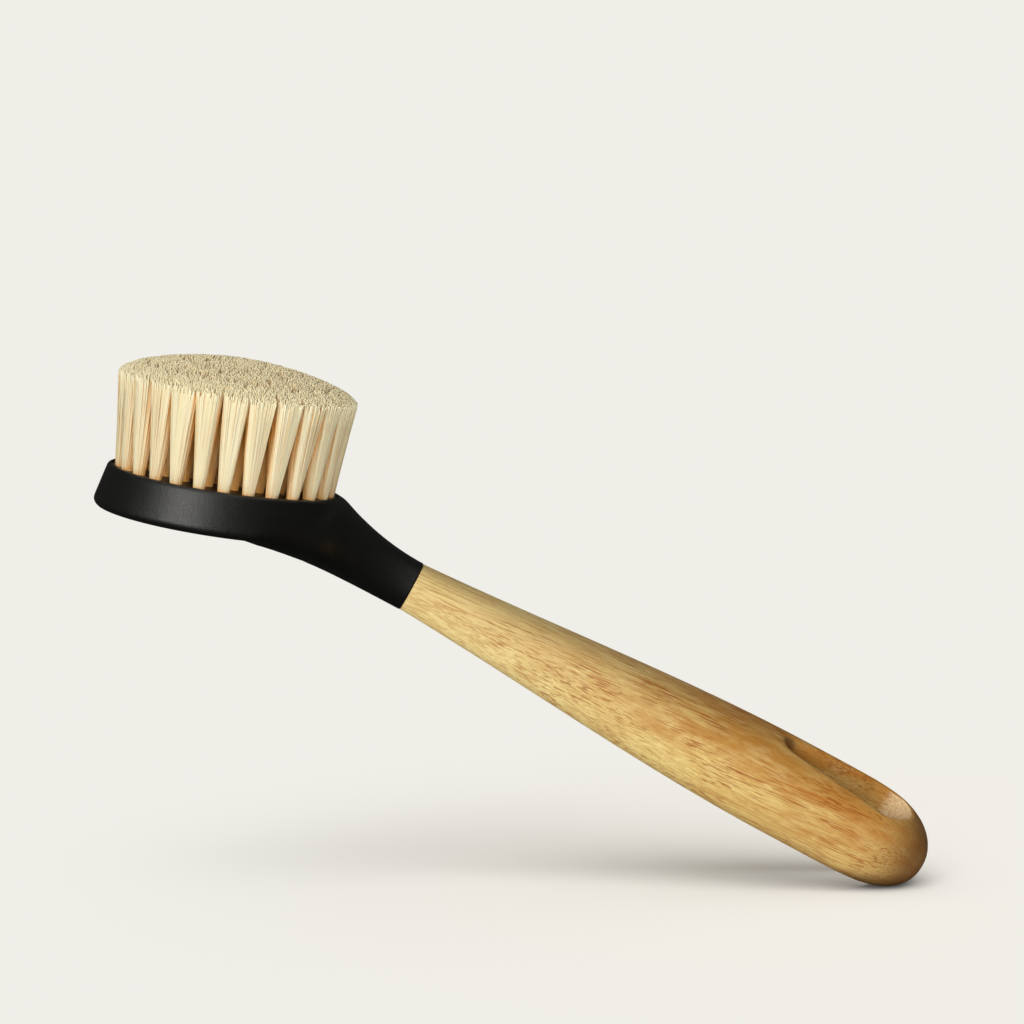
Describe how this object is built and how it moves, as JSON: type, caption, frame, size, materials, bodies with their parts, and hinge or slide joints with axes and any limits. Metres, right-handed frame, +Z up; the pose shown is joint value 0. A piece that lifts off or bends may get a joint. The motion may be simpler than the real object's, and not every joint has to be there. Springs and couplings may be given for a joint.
{
  "type": "pan brush",
  "caption": "Round pan brush: stiff cream bristle tufts on a black moulded head, whose angled neck holds a swelling wooden handle with a teardrop hanging slot.",
  "frame": {"origin": "below the middle of the brush's box, level with the lowest point of the handle's butt", "axes": "+X from the head to the butt, +Y across the brush away from the viewer, +Z up, the way the bristles point"},
  "size_m": [0.2336, 0.0706, 0.1493],
  "materials": {
    "head_plastic": "black, fine moulded grain, satin",
    "bristle": "pale cream stiff filament",
    "anchor_wire": "flat drawn wire",
    "handle_wood": "oiled golden tan, fine brown flecks"
  },
  "bodies": {
    "root": {"brush_head": "head_plastic", "outer_bristles": "bristle", "middle_bristles": "bristle", "inner_bristles": "bristle", "tuft_anchor_01": "anchor_wire", "tuft_anchor_02": "anchor_wire", "tuft_anchor_03": "anchor_wire", "tuft_anchor_04": "anchor_wire", "tuft_anchor_05": "anchor_wire", "tuft_anchor_06": "anchor_wire", "tuft_anchor_07": "anchor_wire", "tuft_anchor_08": "anchor_wire", "tuft_anchor_09": "anchor_wire", "tuft_anchor_10": "anchor_wire", "tuft_anchor_11": "anchor_wire", "tuft_anchor_12": "anchor_wire", "tuft_anchor_13": "anchor_wire", "tuft_anchor_14": "anchor_wire", "tuft_anchor_15": "anchor_wire", "tuft_anchor_16": "anchor_wire", "tuft_anchor_17": "anchor_wire", "tuft_anchor_18": "anchor_wire", "tuft_anchor_19": "anchor_wire", "tuft_anchor_20": "anchor_wire", "tuft_anchor_21": "anchor_wire", "tuft_anchor_22": "anchor_wire", "tuft_anchor_23": "anchor_wire", "tuft_anchor_24": "anchor_wire", "tuft_anchor_25": "anchor_wire", "tuft_anchor_26": "anchor_wire", "tuft_anchor_27": "anchor_wire", "tuft_anchor_28": "anchor_wire", "tuft_anchor_29": "anchor_wire", "tuft_anchor_30": "anchor_wire", "tuft_anchor_31": "anchor_wire", "tuft_anchor_32": "anchor_wire", "tuft_anchor_33": "anchor_wire", "tuft_anchor_34": "anchor_wire", "tuft_anchor_35": "anchor_wire", "tuft_anchor_36": "anchor_wire", "tuft_anchor_37": "anchor_wire", "tuft_anchor_38": "anchor_wire", "tuft_anchor_39": "anchor_wire", "tuft_anchor_40": "anchor_wire", "tuft_anchor_41": "anchor_wire", "tuft_anchor_42": "anchor_wire", "tuft_anchor_43": "anchor_wire", "tuft_anchor_44": "anchor_wire", "tuft_anchor_45": "anchor_wire", "tuft_anchor_46": "anchor_wire", "tuft_anchor_47": "anchor_wire", "tuft_anchor_48": "anchor_wire", "tuft_anchor_49": "anchor_wire", "tuft_anchor_50": "anchor_wire", "tuft_anchor_51": "anchor_wire", "tuft_anchor_52": "anchor_wire", "tuft_anchor_53": "anchor_wire", "tuft_anchor_54": "anchor_wire", "wooden_handle": "handle_wood"}
  },
  "joints": []
}
